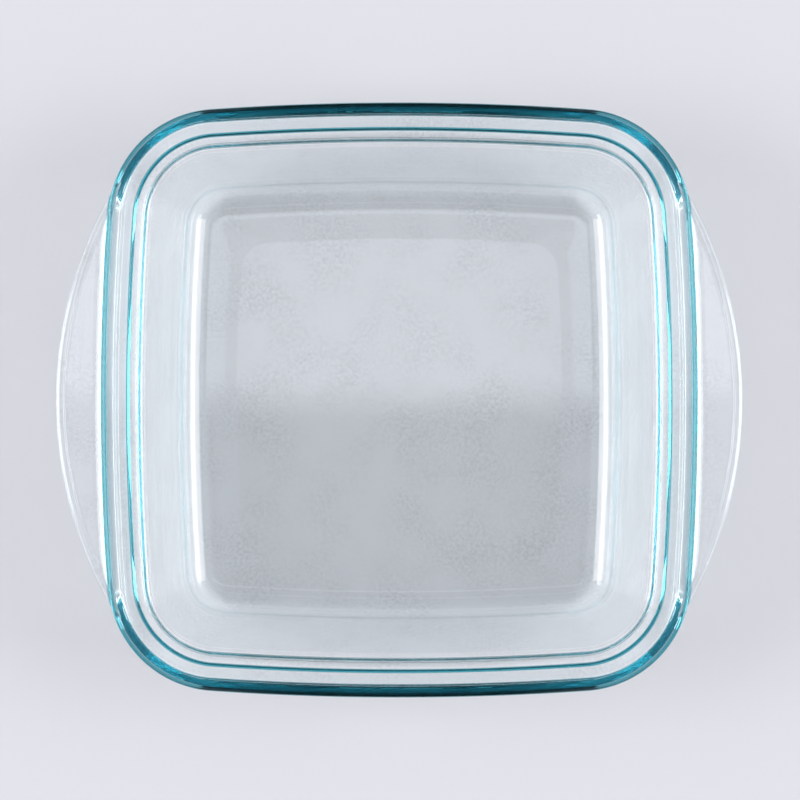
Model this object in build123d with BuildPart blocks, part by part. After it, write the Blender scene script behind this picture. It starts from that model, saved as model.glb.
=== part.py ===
from build123d import *
import math
import os

# Lengths are in millimetres. The dish stands on z = 0 with the middle of its underside on
# the origin, and its two handles reach along X.

# Whole dish
rim_width = 240.0
handle_overhang = 19.0
dish_height = 60.0
bow_angle = 4.0

# Floor and wall
wall_run = 15.2
floor_corner_radius = 13.5
floor_thickness = 5.0
floor_round = 11.0
slab_margin = 1.1
wall_thickness = 4.5
neck_thickness = 3.6
foot_round = 8.0
panel_inset = 19.3
panel_corner_radius = 12.0
panel_depth = 0.8
panel_taper = 55.0

# Rim, from the mouth of the cavity outwards
mouth_round = 2.0
flange_thickness = 4.8
cove_round = 4.7
lower_ledge = 4.9
step_run = 1.2
step_height = 1.7
step_round = 0.4
upper_ledge = 3.9
lip_width = 5.8
lip_run = 0.2
lip_rise = 2.2
lip_foot_round = 0.4
lip_inner_round = 1.2
lip_outer_round = 2.1
lip_depth = 12.0
lip_root_inset = 4.0
lip_root_round = 0.5
lip_band = 6.9
lip_band_round = 1.7

# Handles: flat crescents with a raised bead along the edge, which swell out of the lip
grip_end_inset = 32.9
grip_end_drop = 5.0
grip_end_turn = 3.0
grip_thickness = 4.2
grip_drop = 5.2
grip_edge_round = 2.1
bead_width = 2.8
bead_rise = 0.8
bead_run = 1.2
bead_round = 0.5
root_depth = 3.5
root_reach = 8.0
root_sink = 0.3
root_foot = 1.8
root_lean = 1.0
root_rise = 4.0
root_cove = 5.0
root_turn = 20.0
root_overlap = 7.5

# Places worked out from the sizes above
rim_half = rim_width / 2
mouth_half = rim_half - lip_width - lip_run - upper_ledge - step_run - lower_ledge
floor_half = mouth_half - wall_run
rim_corner_radius = floor_corner_radius + rim_half - floor_half
upper_ledge_z = dish_height - lip_rise
lower_ledge_z = upper_ledge_z - step_height
flange_z = lower_ledge_z - flange_thickness
grip_top = dish_height - grip_drop
grip_bottom = grip_top - grip_thickness
grip_middle = grip_top - grip_thickness / 2

# A handle's edge is an arc through the far end of the overhang and two points on the rim
grip_rise = handle_overhang + grip_end_drop
grip_half_length = rim_half - grip_end_inset
grip_radius = (grip_rise**2 + grip_half_length**2) / (2 * grip_rise)
grip_angle = math.degrees(math.asin(grip_half_length / grip_radius)) + grip_end_turn
grip_inner = grip_radius - handle_overhang - root_depth - root_overlap

# The wall's slope, and where its outer face meets the ground and the flange
wall_rise = lower_ledge_z - floor_thickness
wall_slope = math.atan2(wall_rise, wall_run)
outer_foot = floor_half + wall_thickness / math.sin(wall_slope)
outer_neck = mouth_half + neck_thickness / math.sin(wall_slope)
outer_lean = (outer_neck - outer_foot) / wall_rise
slab_half = floor_half - floor_round * math.tan(wall_slope / 2) - slab_margin


def bow_at(half, corner):
    """Gives the radius of the bowed sides of an outline with this half width and corner radius."""
    flattening = math.cos(math.radians(bow_angle)) - math.sin(math.radians(bow_angle))
    return (half - corner * flattening) / (1 - flattening)


def arcs(half, corner):
    """Lists the eight arcs of an outline as centre, radius, starting angle and turn."""
    bow = bow_at(half, corner)
    knuckle = (bow - corner) * math.sin(math.radians(bow_angle))
    rows = []
    for facing in (0, 90, 180, 270):
        side_centre = Vector(half - bow, 0).rotate(Axis.Z, facing)
        corner_centre = Vector(knuckle, knuckle).rotate(Axis.Z, facing)
        rows.append((side_centre, bow, facing - bow_angle, 2 * bow_angle))
        rows.append((corner_centre, corner, facing + bow_angle, 90 - 2 * bow_angle))
    return rows


def outline(half, corner, height):
    """Draws the plan of the dish at one height: four bowed sides that run into round corners."""
    with BuildSketch(Plane.XY.offset(height)) as plan:
        with BuildLine():
            for centre, radius, start, size in arcs(half, corner):
                CenterArc(centre, radius, start, size)
        make_face()
    return plan.sketch


def section(corners, foot, facing):
    """Draws a section upright on a line that leaves the foot point at this angle in plan."""
    outward = Vector(1, 0).rotate(Axis.Z, facing)
    places = [(out, up) for out, up, rounding in corners]
    rounds = [rounding for out, up, rounding in corners]
    with BuildSketch(Plane(foot, x_dir=outward, z_dir=outward.rotate(Axis.Z, -90))) as cut:
        with BuildLine():
            FilletPolyline(places, radius=rounds, close=True)
        make_face()
    return cut.sketch


def turned(corners, centre, radius, start, size):
    """Turns a section round one arc of the rim. Its places count outwards from the dish's middle."""
    foot = centre + Vector(radius - rim_half, 0).rotate(Axis.Z, start)
    revolve(section(corners, foot, start), axis=Axis(centre, (0, 0, 1)), revolution_arc=size)


# Section of the wall and rim: under the floor, up the outside, over the lip and down the inside
wall_corners = [
    (slab_half, 0, 0),
    (outer_foot - floor_thickness * outer_lean, 0, foot_round),
    (outer_foot + (flange_z - floor_thickness) * outer_lean, flange_z, cove_round),
    (rim_half - lip_root_inset, dish_height - lip_depth, lip_root_round),
    (rim_half, dish_height - lip_band, lip_band_round),
    (rim_half, dish_height, lip_outer_round),
    (rim_half - lip_width, dish_height, lip_inner_round),
    (rim_half - lip_width - lip_run, upper_ledge_z, lip_foot_round),
    (mouth_half + lower_ledge + step_run, upper_ledge_z, step_round),
    (mouth_half + lower_ledge, lower_ledge_z, step_round),
    (mouth_half, lower_ledge_z, mouth_round),
    (floor_half, floor_thickness, floor_round),
    (slab_half, floor_thickness, 0),
]

# Section of a handle's root, which leaves the lip with a hollow curve on top
root_corners = [
    (rim_half - root_depth, grip_middle, 0),
    (rim_half + root_reach, grip_middle, 0),
    (rim_half + root_reach, grip_top - root_sink, 0),
    (rim_half + root_foot, grip_top, root_cove),
    (rim_half - root_lean, grip_top + root_rise, 0),
    (rim_half - root_depth, grip_top + root_rise, 0),
]

# Section of a handle's plate and bead, measured out from the centre of the handle's own arc
bead_inner = grip_radius - bead_width
plate_corners = [
    (grip_inner, grip_bottom, 0),
    (grip_radius, grip_bottom, grip_edge_round),
    (grip_radius, grip_top + bead_rise, grip_edge_round),
    (bead_inner, grip_top + bead_rise, bead_round),
    (bead_inner - bead_run, grip_top, bead_round),
    (grip_inner, grip_top, 0),
]
grip_centre = Vector(rim_half + handle_overhang - grip_radius, 0)

# One handle, on the side that faces +X. Its root follows the rim, and its edge has its own arc.
with BuildPart() as handle:
    side, corner_after, *others, corner_before = arcs(rim_half, rim_corner_radius)
    turned(root_corners, *side)
    turned(root_corners, *corner_after[:3], root_turn)
    turned(root_corners, *corner_before[:2], -bow_angle - root_turn, root_turn)
    with BuildSketch(Plane(grip_centre)) as grip_plan:
        Circle(grip_radius - bead_width / 2)
    extrude(grip_plan.sketch, amount=dish_height, mode=Mode.INTERSECT)
    plate = section(plate_corners, grip_centre, -grip_angle)
    revolve(plate, axis=Axis(grip_centre, (0, 0, 1)), revolution_arc=2 * grip_angle)
    root_half = rim_half - root_depth
    root_plan = outline(root_half, rim_corner_radius - root_depth, 0)
    extrude(root_plan, amount=dish_height, mode=Mode.SUBTRACT)

# The dish: a flat floor, the wall and rim turned round each arc of the outline, and the handles
with BuildPart() as glass_dish:
    slab_corner = rim_corner_radius - rim_half + slab_half
    extrude(outline(slab_half, slab_corner, 0), amount=floor_thickness)
    for centre, radius, start, size in arcs(rim_half, rim_corner_radius):
        turned(wall_corners, centre, radius, start, size)
    add(handle.part)
    mirror(handle.part, about=Plane.YZ)
    panel = outline(floor_half - panel_inset, panel_corner_radius, 0)
    extrude(panel, amount=panel_depth, taper=panel_taper, mode=Mode.SUBTRACT)
glass_dish.part.label = "glass_dish"

os.makedirs("parts", exist_ok=True)
export_step(glass_dish.part, "parts/glass_dish.step")
print("corner radii:", round(rim_corner_radius, 2), round(slab_corner, 2))
print("solids:", len(glass_dish.part.solids()), "faces:", len(glass_dish.part.faces()))
print("volume in cm3:", round(glass_dish.part.volume / 1000, 1), "valid:", glass_dish.part.is_valid)
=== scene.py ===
"""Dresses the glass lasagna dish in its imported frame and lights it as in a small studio."""

import logging
import math
from dataclasses import dataclass, field, replace
from enum import Enum, IntEnum
from typing import Any, Optional, Union

import bmesh
import bpy
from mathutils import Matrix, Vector

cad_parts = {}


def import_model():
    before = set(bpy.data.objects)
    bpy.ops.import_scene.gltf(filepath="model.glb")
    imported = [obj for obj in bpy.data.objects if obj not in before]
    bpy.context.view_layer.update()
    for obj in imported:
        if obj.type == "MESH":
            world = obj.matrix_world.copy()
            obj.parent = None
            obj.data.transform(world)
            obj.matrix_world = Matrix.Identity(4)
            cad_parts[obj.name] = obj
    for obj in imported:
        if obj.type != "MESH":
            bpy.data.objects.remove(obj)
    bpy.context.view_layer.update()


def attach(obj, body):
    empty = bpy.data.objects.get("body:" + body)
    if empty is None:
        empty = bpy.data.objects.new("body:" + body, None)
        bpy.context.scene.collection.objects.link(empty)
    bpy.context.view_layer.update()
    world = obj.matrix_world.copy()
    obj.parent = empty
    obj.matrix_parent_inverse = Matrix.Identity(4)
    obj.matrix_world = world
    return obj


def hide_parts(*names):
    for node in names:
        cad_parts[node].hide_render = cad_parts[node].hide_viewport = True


MM = 0.001
TINY = 1e-9
UP = Vector((0.0, 0.0, 1.0))
LEAST_ROUND_STEPS = 3

# Light that runs along the floor of the dish is reflected up to about 90 times before it leaves
BOUNCES = 96

Point = tuple[float, float]
Corner = tuple[float, float, float]
Colour = tuple[float, float, float, float]
Ramp = tuple[float, float]

log = logging.getLogger("lasagna_dish")


class Side(Enum):
    """The two sides of the dish that carry a handle and face the lamps."""

    LEFT = -1
    RIGHT = 1


class MixSocket(IntEnum):
    """The numbers of a Mix node's colour sockets, whose names it uses for other kinds too."""

    SHARE = 0
    FIRST = 6
    SECOND = 7
    RESULT = 2


@dataclass(frozen=True)
class Softbox:
    """A lamp that faces the dish from a place beside it."""

    name: str
    out: float
    up: float
    depth: float
    length: float
    power: float


@dataclass(frozen=True)
class Pattern:
    """A noise pattern: how often it repeats in a metre, and how many finer layers it has."""

    scale: float
    detail: float


class Value:
    """A shader socket whose arithmetic adds Math nodes."""

    def __init__(self, shader: "Shader", socket: Optional[bpy.types.NodeSocket]) -> None:
        """Keeps the socket and the shader it belongs to."""
        self.shader = shader
        self.socket = socket

    def _join(self, operation: str, first: Any, second: Any) -> "Value":
        """Adds one Math node.

        Args:
            operation: the Math node's operation.
            first: the node's first value or socket.
            second: the node's second value or socket.

        Returns:
            The node's result.
        """
        return self.shader.node("ShaderNodeMath", {"operation": operation}, {0: first, 1: second})

    def __add__(self, other: Any) -> "Value":
        """Adds a value or a socket."""
        return self._join("ADD", self, other)

    def __mul__(self, other: Any) -> "Value":
        """Multiplies by a value or a socket."""
        return self._join("MULTIPLY", self, other)

    def size(self) -> "Value":
        """Drops the sign."""
        return self._join("ABSOLUTE", self, 0.0)

    def at_least(self, other: Any) -> "Value":
        """Gives the larger of this socket and another value."""
        return self._join("MAXIMUM", self, other)

    def fade(self, none: float, full: float) -> "Value":
        """Rises smoothly from 0 at one value to 1 at another.

        Args:
            none: the value that gives 0.
            full: the value that gives 1.

        Returns:
            The share between 0 and 1.
        """
        return self.shader.node(
            "ShaderNodeMapRange",
            {"interpolation_type": "SMOOTHSTEP"},
            {"Value": self, "From Min": none, "From Max": full},
        )


class Shader:
    """Builds one node tree, a node at a time."""

    def __init__(self, owner: Union[bpy.types.Material, bpy.types.World]) -> None:
        """Empties the owner's node tree and keeps it."""
        owner.use_nodes = True
        self.tree = owner.node_tree
        self.tree.nodes.clear()

    def node(
        self,
        kind: str,
        settings: Optional[dict[str, Any]] = None,
        inputs: Optional[dict[Union[str, int], Any]] = None,
        output: Union[str, int] = 0,
    ) -> Value:
        """Adds a node.

        Args:
            kind: the node's type.
            settings: its own settings, which are set first.
            inputs: a value or a link for each named or numbered socket.
            output: the socket that is handed back.

        Returns:
            The chosen output socket.
        """
        made = self.tree.nodes.new(kind)
        for name, setting in (settings or {}).items():
            setattr(made, name, setting)
        for name, given in (inputs or {}).items():
            if isinstance(given, Value):
                self.tree.links.new(given.socket, made.inputs[name])
            else:
                made.inputs[name].default_value = given
        return Value(self, made.outputs[output] if made.outputs else None)

    def axes(self, place: Value, names: str) -> list[Value]:
        """Takes the named axes out of coordinates."""
        return [
            self.node("ShaderNodeSeparateXYZ", inputs={"Vector": place}, output=name)
            for name in names
        ]

    def noise(self, place: Value, pattern: Pattern) -> Value:
        """Adds a noise pattern.

        Args:
            place: the coordinates.
            pattern: the pattern's size and detail.

        Returns:
            A value round 0.5.
        """
        inputs = {"Vector": place, "Scale": pattern.scale, "Detail": pattern.detail}
        return self.node("ShaderNodeTexNoise", inputs=inputs)

    def mix(self, share: Value, first: Any, second: Any) -> Value:
        """Blends two colours.

        Args:
            share: how much of the second colour there is.
            first: the first colour.
            second: the second colour.

        Returns:
            The blend.
        """
        inputs = {MixSocket.SHARE: share, MixSocket.FIRST: first, MixSocket.SECOND: second}
        return self.node("ShaderNodeMix", {"data_type": "RGBA"}, inputs, MixSocket.RESULT)

    def looked_at(self, through: Any) -> Value:
        """Gives 1 where the surface is looked at directly or in a reflection.

        Args:
            through: what it gives instead where the surface is looked at through glass.

        Returns:
            The share.
        """
        kinds = ("Is Camera Ray", "Is Glossy Ray", "Is Transmission Ray")
        direct, mirrored, behind = (
            self.node("ShaderNodeLightPath", output=kind) for kind in kinds
        )
        return direct.at_least(mirrored).at_least(behind * through)


def heading(angle: float) -> Vector:
    """Gives the level direction at this angle from +X."""
    return Vector((math.cos(angle), math.sin(angle), 0.0))


@dataclass(frozen=True)
class Arc:
    """One arc of the dish's plan, as the rim's line follows it."""

    centre: Vector
    radius: float
    start: float
    turn: float
    steps: int

    def direction(self, station: int) -> Vector:
        """Gives the outward direction at one station of the arc."""
        return heading(self.start + self.turn * station / self.steps)

    def place(self, station: int) -> Vector:
        """Gives the point of the arc at one station."""
        return self.centre + self.direction(station) * self.radius

    def station(self, place: Vector) -> int:
        """Gives the station of the arc that a place lies at."""
        arm = place - self.centre
        angle = (math.atan2(arm.y, arm.x) - self.start + math.pi) % (2 * math.pi) - math.pi
        return round(angle / self.turn * self.steps)


@dataclass(frozen=True)
class Plan:
    """The plan of the dish: four bowed sides that run into round corners."""

    half: float = 120.0 * MM
    corner: float = 44.7 * MM
    bow_angle: float = math.radians(4.0)
    side_steps: int = 30
    corner_steps: int = 56

    def arcs(self) -> list[Arc]:
        """Lists the eight arcs of the outline in order round the dish."""
        flattening = math.cos(self.bow_angle) - math.sin(self.bow_angle)
        bow = (self.half - self.corner * flattening) / (1 - flattening)
        knuckle = (bow - self.corner) * math.sin(self.bow_angle)
        side_turn = 2 * self.bow_angle
        corner_turn = math.pi / 2 - side_turn
        rows = []
        for quarter in range(4):
            facing = quarter * math.pi / 2
            out = heading(facing)
            along = Vector((-out.y, out.x, 0.0))
            side_centre, side_start = out * (self.half - bow), facing - self.bow_angle
            corner_centre, corner_start = (out + along) * knuckle, facing + self.bow_angle
            rows += [
                Arc(side_centre, bow, side_start, side_turn, self.side_steps),
                Arc(corner_centre, self.corner, corner_start, corner_turn, self.corner_steps),
            ]
        return rows


def rounded(corners: list[Corner], step: float) -> list[Point]:
    """Rounds the inner corners of an open line.

    Args:
        corners: each corner's place out and up, and its rounding radius.
        step: the largest turn between two points of a rounding.

    Returns:
        The points of the rounded line.
    """
    points: list[Point] = [corners[0][:2]]
    for before, (out, up, radius), after in zip(corners, corners[1:], corners[2:]):
        if radius <= 0:
            points.append((out, up))
            continue
        here = Vector((out, up))
        back = (Vector(before[:2]) - here).normalized()
        on = (Vector(after[:2]) - here).normalized()
        half = back.angle(on) / 2
        reach = radius / math.tan(half)
        middle = here + (back + on).normalized() * (radius / math.sin(half))
        first = here + back * reach - middle
        turn = math.pi - 2 * half
        if first.cross(here + on * reach - middle) < 0:
            turn = -turn
        count = max(LEAST_ROUND_STEPS, math.ceil(abs(turn) / step))
        for number in range(count + 1):
            angle = turn * number / count
            cosine, sine = math.cos(angle), math.sin(angle)
            turned_out = middle.x + first.x * cosine - first.y * sine
            turned_up = middle.y + first.x * sine + first.y * cosine
            points.append((turned_out, turned_up))
    points.append(corners[-1][:2])
    return points


def eased(share: float) -> float:
    """Gives a smooth rise from 0 to 1 for a share between 0 and 1."""
    share = min(1.0, max(0.0, share))
    return share * share * (3 - 2 * share)


def bend(first: Vector, corner: Vector, last: Vector, share: float) -> Vector:
    """Follows a smooth bend that starts towards a corner and leaves away from it.

    Args:
        first: where the bend starts.
        corner: the corner that it cuts.
        last: where the bend ends.
        share: how far along it, from 0 to 1.

    Returns:
        The place on the bend.
    """
    return first.lerp(corner, share).lerp(corner.lerp(last, share), share)


@dataclass(frozen=True)
class Lip:
    """The outer face of the lip: a slant that turns upright at a band."""

    half: float
    root: Point
    face: tuple[Point, ...]
    crown_start: float

    def out_at(self, height: float) -> float:
        """Gives how far out the lip's face is at one height."""
        for (out_a, up_a), (out_b, up_b) in zip(self.face, self.face[1:]):
            if up_a <= height <= up_b and up_b > up_a:
                return out_a + (out_b - out_a) * (height - up_a) / (up_b - up_a)
        return self.half


@dataclass(frozen=True)
class Grip:
    """The section of a handle, from the lip's lower face out to its edge and back to the lip."""

    overhang: float = 19.0 * MM
    edge_radius: float = 170.05 * MM
    bottom: float = 50.85 * MM
    thickness: float = 4.16 * MM
    bead_rise: float = 0.8 * MM
    bead_width: float = 2.8 * MM
    bead_run: float = 1.2 * MM
    edge_round: float = 2.1 * MM
    cove_reach: float = 4.46 * MM
    cove_rise: float = 3.25 * MM
    cove_lag: float = 2.04 * MM
    cove_share: float = 0.7
    cove_power: float = 0.8
    heel_out: float = -1.29 * MM
    heel_up: float = 48.21 * MM
    toe_out: float = 0.79 * MM
    heel_growth: float = 6.0 * MM
    corner_ease: float = 0.3
    softness: float = 0.5 * MM
    fade_start: float = math.radians(28.5)
    fade_end: float = math.radians(34.0)
    fade_depth: float = 1.6 * MM
    hidden: float = -2.4 * MM
    under_points: int = 10
    flat_points: int = 5
    edge_points: int = 14
    bead_points: int = 3
    slope_points: int = 8
    cove_points: int = 14

    def reach(self, place: Vector, direction: Vector, rim_half: float) -> float:
        """Gives how far the handle's edge stands outside the rim's line at one station.

        Args:
            place: the point on the rim's line.
            direction: the outward direction there.
            rim_half: half the width over the rim.

        Returns:
            The distance to the handle's edge, or a negative one where there is no handle.
        """
        facing = Side.RIGHT if place.x > 0 else Side.LEFT
        offset = (rim_half + self.overhang - self.edge_radius) * facing.value
        arm = place - Vector((offset, 0.0, 0.0))
        swing = abs(math.atan2(arm.y, arm.x * facing.value))
        if swing > self.fade_end:
            return self.hidden
        along = direction.dot(arm)
        distance = math.sqrt(along * along - arm.length_squared + self.edge_radius**2) - along
        fade = eased((swing - self.fade_start) / (self.fade_end - self.fade_start))
        return max(self.hidden, distance - fade * self.fade_depth)

    def crown(self) -> float:
        """Gives the height of the bead's top."""
        return self.bottom + self.thickness + self.bead_rise

    def underside(self, edge: float, lip: Lip) -> list[Point]:
        """Draws the lower face, over the small heel beside the lip and on to the edge's rounding.

        Args:
            edge: how far out the handle's edge is.
            lip: the outer face of the lip.

        Returns:
            The points, whose heel and toe are rounded.
        """
        start = lip.out_at(self.bottom)
        grown = eased((edge - self.edge_round - start) / self.heel_growth)
        corner = Vector((start, self.bottom))
        heel = corner.lerp(Vector((lip.half + self.heel_out, self.heel_up)), grown)
        toe = corner.lerp(Vector((lip.half + self.toe_out, self.bottom)), grown)
        middle = heel.lerp(toe, 0.5)
        root_up = lip.root[1]
        root = Vector((start - (self.bottom - root_up), root_up)).lerp(corner, 1 - grown)
        shoulder = max(toe.x, edge - self.edge_round)
        beyond = Vector((shoulder, self.bottom))
        room = (toe - middle).length / max(TINY, (beyond - toe).length)
        before = heel.lerp(root, self.corner_ease)
        behind = toe.lerp(beyond, min(self.corner_ease, room))
        points: list[Point] = []
        for number in range(self.under_points):
            share = 2 * number / (self.under_points - 1)
            if share < 1:
                points.append(tuple(bend(before, heel, middle, share)))
            else:
                points.append(tuple(bend(middle, toe, behind, share - 1)))
        last_out = points[-1][0]
        for number in range(1, self.flat_points):
            share = number / self.flat_points
            points.append((last_out + (shoulder - last_out) * share, self.bottom))
        return points

    def rounding(self, edge: float, blur: float, lip: Lip) -> list[Point]:
        """Draws the round edge, which sinks into the lip where the handle ends.

        Args:
            edge: how far out the handle's edge is.
            blur: the width over which the edge and the lip's face run into each other.
            lip: the outer face of the lip.

        Returns:
            The points, from the lower face to the bead.
        """
        middles = (self.bottom + self.edge_round, self.crown() - self.edge_round)
        points: list[Point] = []
        for number in range(2 * self.edge_points):
            upper, place = divmod(number, self.edge_points)
            share = place / (self.edge_points - 1)
            angle = (share if upper else share - 1) * math.pi / 2
            height = middles[upper] + self.edge_round * math.sin(angle)
            out = edge - self.edge_round * (1 - math.cos(angle))
            face = lip.out_at(height)
            gap = out - face
            fill = blur / 2 * max(0.0, 1 - abs(gap) / self.edge_round)
            met = (out + face + math.sqrt(gap * gap + blur * blur)) / 2 - fill
            met = min(met, max(face, out + blur))
            points.append((max(face, met), height))
        return points

    def top(self, edge: float, start: float, cove: float, lip: Lip) -> list[Point]:
        """Draws the bead's top, its slope, the flat plate and the cove that climbs to the lip.

        Args:
            edge: how far out the handle's edge is.
            start: how far out the edge's rounding ends.
            cove: how far out the cove's foot stands from the lip.
            lip: the outer face of the lip.

        Returns:
            The points, from the bead in to the lip.
        """
        slope = edge - self.bead_width
        foot = lip.half + cove
        stops = [edge - self.edge_round, slope, slope - self.bead_run, foot]
        stops = [min(start, max(foot, stop)) for stop in stops]
        counts = (self.bead_points, self.slope_points, self.flat_points)
        points: list[Point] = []
        for begin, end, count in zip(stops, stops[1:], counts):
            for number in range(1, count + 1):
                out = begin + (end - begin) * number / count
                fall = eased((slope - out) / self.bead_run)
                points.append((out, self.crown() - self.bead_rise * fall))
        foot_out, foot_up = points[-1]
        rise = self.cove_rise * (cove / self.cove_reach) ** self.cove_power
        for number in range(1, self.cove_points + 1):
            angle = number / self.cove_points * math.pi / 2
            out = foot_out - (foot_out - lip.half) * math.sin(angle)
            points.append((out, foot_up + rise * (1 - math.cos(angle))))
        return points

    def section(self, reach: float, lip: Lip) -> list[Point]:
        """Draws the handle's section at one station, as a line with a fixed number of points.

        Args:
            reach: how far the handle's edge stands outside the rim's line.
            lip: the outer face of the lip that the handle grows from.

        Returns:
            The points out and up, from the lip's lower face to where its rounding starts.
        """
        edge = lip.half + reach
        blur = self.softness * eased((reach - self.hidden) / (-self.hidden))
        cove = min(self.cove_reach, self.cove_share * max(0.0, reach - self.cove_lag))
        points = self.underside(edge, lip) + self.rounding(edge, blur, lip)
        points += self.top(edge, points[-1][0], cove, lip)
        return points + [(lip.half, lip.crown_start)]


@dataclass(frozen=True)
class WallSection:
    """The section of the floor's edge, the wall and the stepped rim."""

    height: float = 60.0 * MM
    floor_thickness: float = 5.0 * MM
    wall_run: float = 15.2 * MM
    wall_thickness: float = 4.5 * MM
    neck_thickness: float = 3.6 * MM
    foot_round: float = 12.0 * MM
    floor_round: float = 11.0 * MM
    slab_margin: float = 1.1 * MM
    mouth_round: float = 1.5 * MM
    flange_thickness: float = 4.78 * MM
    cove_round: float = 3.04 * MM
    lower_ledge: float = 4.9 * MM
    step_run: float = 0.93 * MM
    step_height: float = 1.85 * MM
    step_round: float = 0.58 * MM
    step_brim: float = 0.55 * MM
    upper_ledge: float = 3.79 * MM
    lip_width: float = 6.06 * MM
    lip_run: float = 0.32 * MM
    lip_rise: float = 2.37 * MM
    lip_foot_round: float = 0.57 * MM
    lip_inner_round: float = 1.56 * MM
    lip_outer_round: float = 1.51 * MM
    lip_depth: float = 11.85 * MM
    lip_root_inset: float = 3.94 * MM
    lip_root_round: float = 0.4 * MM
    lip_band: float = 6.35 * MM
    lip_band_round: float = 2.82 * MM
    face_step: float = math.radians(2.0)
    turn_step: float = math.radians(6.0)

    def mouth_half(self, half: float) -> float:
        """Gives half the width of the mouth for a rim of this half width."""
        upper_edge = half - self.lip_width - self.lip_run - self.upper_ledge
        return upper_edge - self.step_run - self.lower_ledge

    def lower_ledge_height(self) -> float:
        """Gives the height of the lower of the rim's two ledges."""
        return self.height - self.lip_rise - self.step_height

    def wall_rise(self) -> float:
        """Gives the height of the inner wall, from the floor to the lower ledge."""
        return self.lower_ledge_height() - self.floor_thickness

    def wall_slope(self) -> float:
        """Gives the angle between the inner wall and the floor."""
        return math.atan2(self.wall_rise(), self.wall_run)

    def slab_half(self, half: float) -> float:
        """Gives half the width of the flat part of the floor, with a small margin."""
        inner = self.mouth_half(half) - self.wall_run
        return inner - self.floor_round * math.tan(self.wall_slope() / 2) - self.slab_margin

    def lip(self, half: float) -> Lip:
        """Draws the lip's outer face for a rim of this half width."""
        root = (half - self.lip_root_inset, self.height - self.lip_depth)
        band = (half, self.height - self.lip_band)
        crown_start = self.height - self.lip_outer_round
        corners = [(*root, 0.0), (*band, self.lip_band_round), (half, crown_start, 0.0)]
        return Lip(half, root, tuple(rounded(corners, self.face_step)), crown_start)

    def outside(self, lip: Lip, grip_bottom: float) -> list[Point]:
        """Draws the outside, from under the floor to where a handle can start.

        Args:
            lip: the outer face of the lip.
            grip_bottom: the height of the handles' lower face.

        Returns:
            The points of the line.
        """
        mouth = self.mouth_half(lip.half)
        foot = mouth - self.wall_run + self.wall_thickness / math.sin(self.wall_slope())
        neck = mouth + self.neck_thickness / math.sin(self.wall_slope())
        lean = (neck - foot) / self.wall_rise()
        flange = self.lower_ledge_height() - self.flange_thickness
        corners = [
            (self.slab_half(lip.half), 0.0, 0.0),
            (foot - self.floor_thickness * lean, 0.0, self.foot_round),
            (foot + (flange - self.floor_thickness) * lean, flange, self.cove_round),
            (*lip.root, self.lip_root_round),
            (lip.out_at(grip_bottom), grip_bottom, 0.0),
        ]
        return rounded(corners, self.turn_step)[:-1]

    def inside(self, half: float) -> list[Point]:
        """Draws the inside, from the lip's outer rounding over the ledges and down to the floor.

        Args:
            half: half the width over the rim.

        Returns:
            The points of the line.
        """
        mouth = self.mouth_half(half)
        upper = self.height - self.lip_rise
        lower = self.lower_ledge_height()
        inner = half - self.lip_width
        step = mouth + self.lower_ledge
        corners = [
            (half, self.height - self.lip_outer_round - self.step_round, 0.0),
            (half, self.height, self.lip_outer_round),
            (inner, self.height, self.lip_inner_round),
            (inner - self.lip_run, upper, self.lip_foot_round),
            (step + self.step_run + self.step_brim, upper, 0.0),
            (step + self.step_run, upper, self.step_round),
            (step, lower, self.step_round),
            (mouth, lower, self.mouth_round),
            (mouth - self.wall_run, self.floor_thickness, self.floor_round),
            (self.slab_half(half), self.floor_thickness, 0.0),
        ]
        return rounded(corners, self.turn_step)[1:]


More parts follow.
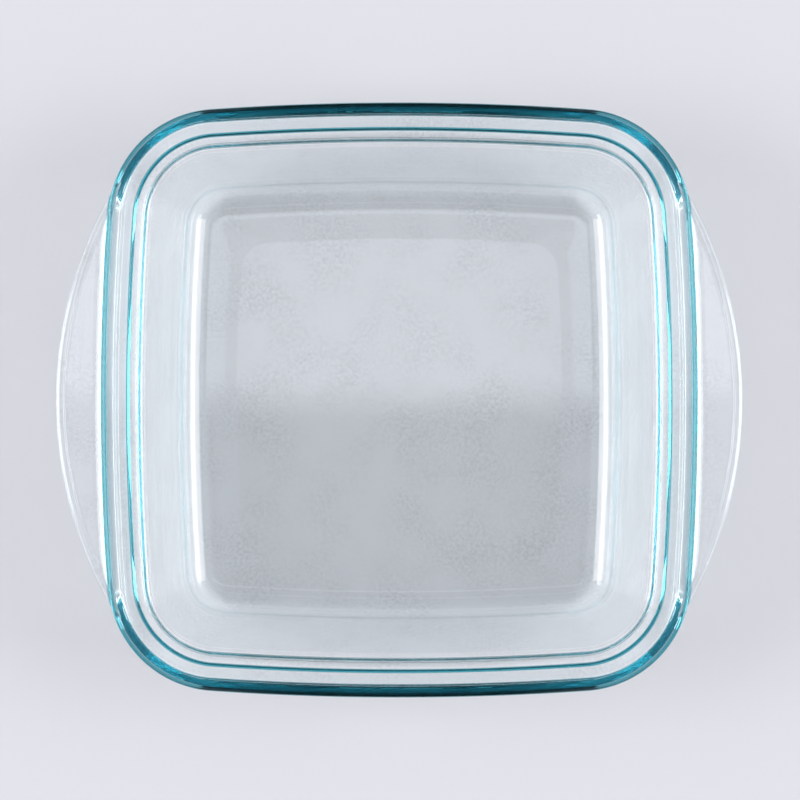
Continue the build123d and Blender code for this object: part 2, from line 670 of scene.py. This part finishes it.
@dataclass(frozen=True)
class ClearGlass:
    """Pressed soda-lime glass: clear through its thickness, blue-green along its length."""

    name: str = "clear_pressed_glass"
    index: float = 1.5
    roughness: float = 0.0
    transmission: float = 1.0
    density: float = 9.5
    tint: Colour = (0.0, 0.69, 0.765, 1.0)
    clear: Colour = (1.0, 1.0, 1.0, 1.0)
    clouded: Colour = (0.88, 0.882, 0.885, 1.0)
    clouds: Pattern = Pattern(scale=40.0, detail=3.0)
    cloud_edges: Ramp = (0.3, 0.75)
    grain: Pattern = Pattern(scale=800.0, detail=2.0)
    grain_edges: Ramp = (0.4, 0.65)
    waves: Pattern = Pattern(scale=70.0, detail=1.0)
    wave_height: float = 0.01 * MM
    press: Pattern = Pattern(scale=420.0, detail=1.0)
    press_height: float = 0.002 * MM
    relief_unit: float = 1.0
    # Painted shade: a dark teal painted on two bands of the rim, where light running along inside
    # the glass shows dark lines.
    painted_shade_name: str = "painted_shade_share"
    painted_shade_colour: Colour = (0.015, 0.24, 0.31, 1.0)

    def base_colour(self, shader: Shader, place: Value) -> Value:
        """Mottles the glass faintly, and paints shade as a dark teal on the rim's bands.

        Args:
            shader: the shader that takes the nodes.
            place: the coordinates.

        Returns:
            The base colour.
        """
        clouds = shader.noise(place, self.clouds).fade(*self.cloud_edges)
        grain = shader.noise(place, self.grain).fade(*self.grain_edges)
        mottled = shader.mix(clouds * grain, self.clear, self.clouded)
        # The painted shade share of each point, which darkens the rim's bands to a teal.
        settings = {"attribute_name": self.painted_shade_name}
        edge = shader.node("ShaderNodeAttribute", settings, output="Fac")
        return shader.mix(edge, mottled, self.painted_shade_colour)

    def relief(self, shader: Shader, place: Value) -> Value:
        """Ripples the glass a few thousandths of a millimetre deep.

        Args:
            shader: the shader that takes the nodes.
            place: the coordinates.

        Returns:
            The normal.
        """
        waves = shader.noise(place, self.waves) * self.wave_height
        height = waves + shader.noise(place, self.press) * self.press_height
        inputs = {"Height": height, "Distance": self.relief_unit}
        return shader.node("ShaderNodeBump", inputs=inputs)

    def material(self) -> bpy.types.Material:
        """Builds the finish."""
        made = bpy.data.materials.new(self.name)
        shader = Shader(made)
        place = shader.node("ShaderNodeTexCoord", output="Object")
        surface = shader.node(
            "ShaderNodeBsdfPrincipled",
            inputs={
                "Base Color": self.base_colour(shader, place),
                "Roughness": self.roughness,
                "IOR": self.index,
                "Transmission Weight": self.transmission,
                "Normal": self.relief(shader, place),
            },
        )
        depth = {"Color": self.tint, "Density": self.density}
        inner = shader.node("ShaderNodeVolumeAbsorption", inputs=depth)
        shader.node("ShaderNodeOutputMaterial", inputs={"Surface": surface, "Volume": inner})
        return made


@dataclass(frozen=True)
class PaleTable:
    """The matt pale table under the dish. Part of its paleness is a glow that lights nothing.

    The glow is painted light where the table is seen through glass: it is made stronger there,
    most of all in a painted pool of light under the dish.
    """

    name: str = "pale_table"
    colour: Colour = (0.585, 0.585, 0.61, 1.0)
    glow: float = 0.19
    # Painted light: how much stronger the glow is where the table is seen through glass,
    # strongest in the painted pool of light under the dish.
    through: float = 2.5
    painted_pool_sides: Ramp = (0.118, 0.1)
    painted_pool_ends: Ramp = (0.13, 0.112)
    painted_pool_share: float = 0.5

    def material(self) -> bpy.types.Material:
        """Builds the finish."""
        made = bpy.data.materials.new(self.name)
        shader = Shader(made)
        matt = shader.node("ShaderNodeBsdfDiffuse", inputs={"Color": self.colour})
        place = shader.node("ShaderNodeTexCoord", output="Object")
        sideways, away = shader.axes(place, "XY")
        # Painted light: a pool of stronger glow under the dish, seen only through glass; outside
        # it the glow through glass is halved.
        painted_light_pool = sideways.size().fade(*self.painted_pool_sides) * away.size().fade(*self.painted_pool_ends)
        painted_light_pool = painted_light_pool * self.painted_pool_share + (1.0 - self.painted_pool_share)
        strength = shader.looked_at(painted_light_pool * self.through) * self.glow
        light = {"Color": self.colour, "Strength": strength}
        glow = shader.node("ShaderNodeEmission", inputs=light)
        surface = shader.node("ShaderNodeAddShader", inputs={0: matt, 1: glow})
        shader.node("ShaderNodeOutputMaterial", inputs={"Surface": surface})
        return made


@dataclass(frozen=True)
class PaintedShadeBand:
    """A band of the rim painted a dark teal: painted shade. Its reaches are measured from the
    rim's line.
    """

    inside: Ramp
    outside: Ramp
    height: Ramp = (54.0 * MM, 55.0 * MM)

    def share(self, reach: float, up: float) -> float:
        """Gives how far a point belongs to the band.

        Args:
            reach: how far it stands outside the rim's line.
            up: its height.

        Returns:
            A share between 0 and 1.
        """
        ramps = ((reach, self.inside), (reach, self.outside), (up, self.height))
        shares = [(value - none) / (full - none) for value, (none, full) in ramps]
        return max(0.0, min(1.0, *shares))


@dataclass(frozen=True)
class Marks:
    """The layers in which each point of the wall keeps where it belongs."""

    grip_point: Any
    station: Any
    # How far each point carries the painted shade of the rim's bands.
    depth: Any


def add_object(name: str, data: bpy.types.ID) -> bpy.types.Object:
    """Puts an object with this name and data into the scene."""
    made = bpy.data.objects.new(name, data)
    bpy.context.scene.collection.objects.link(made)
    return made


def add_mesh(name: str, mesh: bmesh.types.BMesh, finish: bpy.types.Material) -> bpy.types.Object:
    """Turns a finished mesh into an object.

    Args:
        name: the object's name.
        mesh: the mesh, which is freed.
        finish: its material.

    Returns:
        The object.
    """
    data = bpy.data.meshes.new(name)
    mesh.to_mesh(data)
    mesh.free()
    data.materials.append(finish)
    return add_object(name, data)


@dataclass
class GlassDish:
    """The dish, one pressed piece with its rim and its two handles."""

    plan: Plan = field(default_factory=Plan)
    wall: WallSection = field(default_factory=WallSection)
    grip: Grip = field(default_factory=Grip)
    finish: ClearGlass = field(default_factory=ClearGlass)
    panel_inset: float = 19.3 * MM
    panel_corner: float = 12.0 * MM
    panel_depth: float = 0.8 * MM
    panel_slope: float = 1.14 * MM
    merge: float = 0.0005 * MM
    shading_weight: int = 50
    stations: int = 1000
    station_name: str = "station"
    # Painted shade bands: the lip's top, and the step between the two ledges.
    painted_shade_bands: tuple[PaintedShadeBand, ...] = (
        PaintedShadeBand(inside=(-2.9 * MM, -2.0 * MM), outside=(1.1 * MM, 0.7 * MM)),
        PaintedShadeBand(inside=(-11.3 * MM, -11.0 * MM), outside=(-9.62 * MM, -9.8 * MM)),
    )

    def turn_arc(
        self, mesh: bmesh.types.BMesh, section: list[tuple[Point, int]], arc: Arc, marks: Marks
    ) -> list[bmesh.types.BMVert]:
        """Turns the section round one arc of the plan.

        Args:
            mesh: the mesh that takes the wall.
            section: each point of the section, and its number on the handle or 0.
            arc: the arc.
            marks: the mesh's layers.

        Returns:
            The points of this part of the wall.
        """
        first = len(mesh.verts)
        out = arc.direction(0)
        foot = arc.centre + out * (arc.radius - self.plan.half)
        points = []
        for (reach, up), number in section:
            point = mesh.verts.new(foot + out * reach + UP * up)
            point[marks.grip_point] = number
            points.append(point)
        edges = [mesh.edges.new(pair) for pair in zip(points, points[1:])]
        bmesh.ops.spin(
            mesh,
            geom=points + edges,
            cent=arc.centre,
            axis=UP,
            angle=arc.turn,
            steps=arc.steps,
            use_merge=False,
            use_duplicate=False,
        )
        mesh.verts.ensure_lookup_table()
        return mesh.verts[first:]

    def turn_wall(self, mesh: bmesh.types.BMesh) -> None:
        """Turns the section round the whole plan and pulls the handles out of the lip.

        Args:
            mesh: the mesh that takes the wall.
        """
        lip = self.wall.lip(self.plan.half)
        below = self.wall.outside(lip, self.grip.bottom)
        plain = self.grip.section(self.grip.hidden, lip)
        above = self.wall.inside(self.plan.half)
        numbers = [0] * len(below) + list(range(1, len(plain) + 1)) + [0] * len(above)
        section = list(zip(below + plain + above, numbers))
        marks = Marks(
            grip_point=mesh.verts.layers.int.new("grip_point"),
            station=mesh.verts.layers.int.new(self.station_name),
            depth=mesh.verts.layers.float.new(self.finish.painted_shade_name),
        )
        for order, arc in enumerate(self.plan.arcs()):
            points = self.turn_arc(mesh, section, arc, marks)
            for point in points:
                point[marks.station] = order * self.stations + arc.station(point.co)
            self.pull_grip(points, arc, lip, marks)
            # Marks how far each point lies in a painted shade band.
            for point in points:
                out = arc.direction(point[marks.station] % self.stations)
                reach = (point.co - arc.centre).dot(out) - arc.radius
                shares = [band.share(reach, point.co.z) for band in self.painted_shade_bands]
                point[marks.depth] = max(shares)
        bmesh.ops.remove_doubles(mesh, verts=mesh.verts, dist=self.merge)

    def pull_grip(
        self, points: list[bmesh.types.BMVert], arc: Arc, lip: Lip, marks: Marks
    ) -> None:
        """Moves the points of one arc's lip out to the handle's section.

        Args:
            points: the arc's points.
            arc: the arc of the plan.
            lip: the outer face of the lip.
            marks: the mesh's layers.
        """
        sections: dict[int, list[Point]] = {}
        for point in points:
            if not point[marks.grip_point]:
                continue
            station = point[marks.station] % self.stations
            out = arc.direction(station)
            if station not in sections:
                edge = self.grip.reach(arc.place(station), out, lip.half)
                sections[station] = self.grip.section(edge, lip)
            reach, up = sections[station][point[marks.grip_point] - 1]
            point.co = arc.centre + out * (arc.radius - lip.half + reach) + UP * up

    def step_in(
        self, mesh: bmesh.types.BMesh, edges: list[bmesh.types.BMEdge], plan: Plan, height: float
    ) -> list[bmesh.types.BMEdge]:
        """Adds a ring of faces from an open border to a smaller outline.

        Args:
            mesh: the mesh with the open border.
            edges: the border's edges.
            plan: the smaller outline.
            height: its height.

        Returns:
            The edges of the new border.
        """
        stations = mesh.verts.layers.int[self.station_name]
        arcs = plan.arcs()
        made = bmesh.ops.extrude_edge_only(mesh, edges=edges)["geom"]
        points = {part for part in made if isinstance(part, bmesh.types.BMVert)}
        for point in points:
            order, station = divmod(point[stations], self.stations)
            point.co = arcs[order].place(station) + UP * height
        inner = [part for part in made if isinstance(part, bmesh.types.BMEdge)]
        return [edge for edge in inner if points.issuperset(edge.verts)]

    def close(self, mesh: bmesh.types.BMesh) -> None:
        """Closes the floor, and the underside with its shallow panel.

        Args:
            mesh: the mesh with the open wall.
        """
        middle = self.wall.floor_thickness / 2
        border = [edge for edge in mesh.edges if edge.is_boundary]
        upper = [edge for edge in border if edge.verts[0].co.z > middle]
        lower = [edge for edge in border if edge.verts[0].co.z < middle]
        bmesh.ops.edgeloop_fill(mesh, edges=upper)
        half = self.wall.mouth_half(self.plan.half) - self.wall.wall_run - self.panel_inset
        brim = replace(self.plan, half=half, corner=self.panel_corner)
        panel = replace(
            brim, half=half - self.panel_slope, corner=self.panel_corner - self.panel_slope
        )
        for plan, height in ((brim, 0.0), (panel, self.panel_depth)):
            lower = self.step_in(mesh, lower, plan, height)
        bmesh.ops.edgeloop_fill(mesh, edges=lower)

    def build(self) -> bpy.types.Object:
        """Builds the dish's piece.

        Returns:
            The finished object.
        """
        mesh = bmesh.new()
        self.turn_wall(mesh)
        self.close(mesh)
        bmesh.ops.dissolve_degenerate(mesh, edges=mesh.edges, dist=self.merge)
        bmesh.ops.recalc_face_normals(mesh, faces=mesh.faces)
        for face in mesh.faces:
            face.smooth = True
        piece = add_mesh("pressed_glass_dish", mesh, self.finish.material())
        even = piece.modifiers.new("even_shading", "WEIGHTED_NORMAL")
        even.mode = "FACE_AREA"
        even.weight = self.shading_weight
        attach(piece, "root")
        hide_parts("glass_dish")
        return piece


@dataclass
class Studio:
    """The table, the surroundings, the lamps and the camera."""

    table: PaleTable = field(default_factory=PaleTable)
    table_half: float = 12.0
    table_gap: float = 0.1 * MM
    camera_height: float = 1.16
    rim_height: float = 0.06
    frame_width: float = 0.3222
    camera_shift: float = 0.0003
    sensor: float = 36.0
    sky: Colour = (0.753, 0.753, 0.815, 1.0)
    dim: float = 0.018
    sweep_edges: Ramp = (0.2, 0.08)
    tent: float = 0.9
    tent_edges: Ramp = (0.06, 0.12)
    panel: float = 2.6
    panel_side: Ramp = (0.20, 0.15)
    panel_near: Ramp = (-0.01, 0.01)
    panel_far: Ramp = (0.085, 0.07)
    panel_up: Ramp = (0.0, 0.5)
    lamps: tuple[Softbox, ...] = (
        Softbox("low_strip", out=3.0, up=1.05, depth=0.6, length=2.7, power=30.0),
        Softbox("middle_box", out=2.85, up=2.1, depth=2.1, length=1.5, power=42.0),
    )

    def build_table(self) -> None:
        """Lays the table."""
        mesh = bmesh.new()
        bmesh.ops.create_grid(mesh, x_segments=1, y_segments=1, size=self.table_half)
        bmesh.ops.translate(mesh, verts=mesh.verts, vec=UP * -self.table_gap)
        add_mesh("table", mesh, self.table.material())

    def build_sky(self) -> None:
        """Makes the surroundings, a dim room with three pale parts.

        A sweep lies low round the table, a tent covers both sides from the middle out, and a
        bright panel stands above the dish, a little behind its middle.
        """
        world = bpy.data.worlds.new("studio")
        bpy.context.scene.world = world
        shader = Shader(world)
        direction = shader.node("ShaderNodeTexCoord", output="Generated")
        sideways, away, up = shader.axes(direction, "XYZ")
        sideways = sideways.size()
        sweep = up.fade(*self.sweep_edges)
        tent = sideways.fade(*self.tent_edges) * self.tent
        panel = sideways.fade(*self.panel_side) * away.fade(*self.panel_near)
        panel = panel * away.fade(*self.panel_far) * up.fade(*self.panel_up) * self.panel
        seen = shader.node("ShaderNodeLightPath", output="Is Camera Ray")
        strength = sweep.at_least(seen).at_least(tent).at_least(panel).at_least(self.dim)
        light = {"Color": self.sky, "Strength": strength}
        background = shader.node("ShaderNodeBackground", inputs=light)
        shader.node("ShaderNodeOutputWorld", inputs={"Surface": background})

    def build_lamp(self, side: Side, box: Softbox) -> None:
        """Hangs one lamp.

        Args:
            side: the side that it lights.
            box: the lamp's place, size and power.
        """
        light = bpy.data.lights.new(f"{box.name}_{side.name.lower()}", "AREA")
        light.shape = "RECTANGLE"
        light.size = box.length
        light.size_y = box.depth
        light.energy = box.power
        lamp = add_object(light.name, light)
        lamp.location = (side.value * box.out, 0.0, box.up)
        lamp.rotation_euler = (-lamp.location).to_track_quat("-Z", "Y").to_euler()

    def build_camera(self) -> None:
        """Hangs the camera straight above the dish."""
        data = bpy.data.cameras.new("camera")
        data.sensor_width = self.sensor
        data.lens = self.sensor * (self.camera_height - self.rim_height) / self.frame_width
        camera = add_object("camera", data)
        camera.location = (self.camera_shift, 0.0, self.camera_height)
        bpy.context.scene.camera = camera

    def build(self) -> None:
        """Builds the whole studio."""
        self.build_table()
        self.build_sky()
        for side in Side:
            for box in self.lamps:
                self.build_lamp(side, box)
        self.build_camera()


def set_render(scene: bpy.types.Scene) -> None:
    """Sets the view transform, and lets light follow the glass to the end."""
    scene.view_settings.view_transform = "Standard"
    scene.cycles.max_bounces = BOUNCES
    scene.cycles.transmission_bounces = BOUNCES
    scene.cycles.glossy_bounces = BOUNCES


def main() -> None:
    """Builds the dish and the studio."""
    logging.basicConfig(level=logging.INFO, format="%(name)s: %(message)s")
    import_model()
    dish = GlassDish().build()
    triangles = sum(len(face.vertices) - 2 for face in dish.data.polygons)
    log.info("%s has %d triangles", dish.name, triangles)
    Studio().build()
    log.info("the studio is ready")
    set_render(bpy.context.scene)


if __name__ == "__main__":
    main()
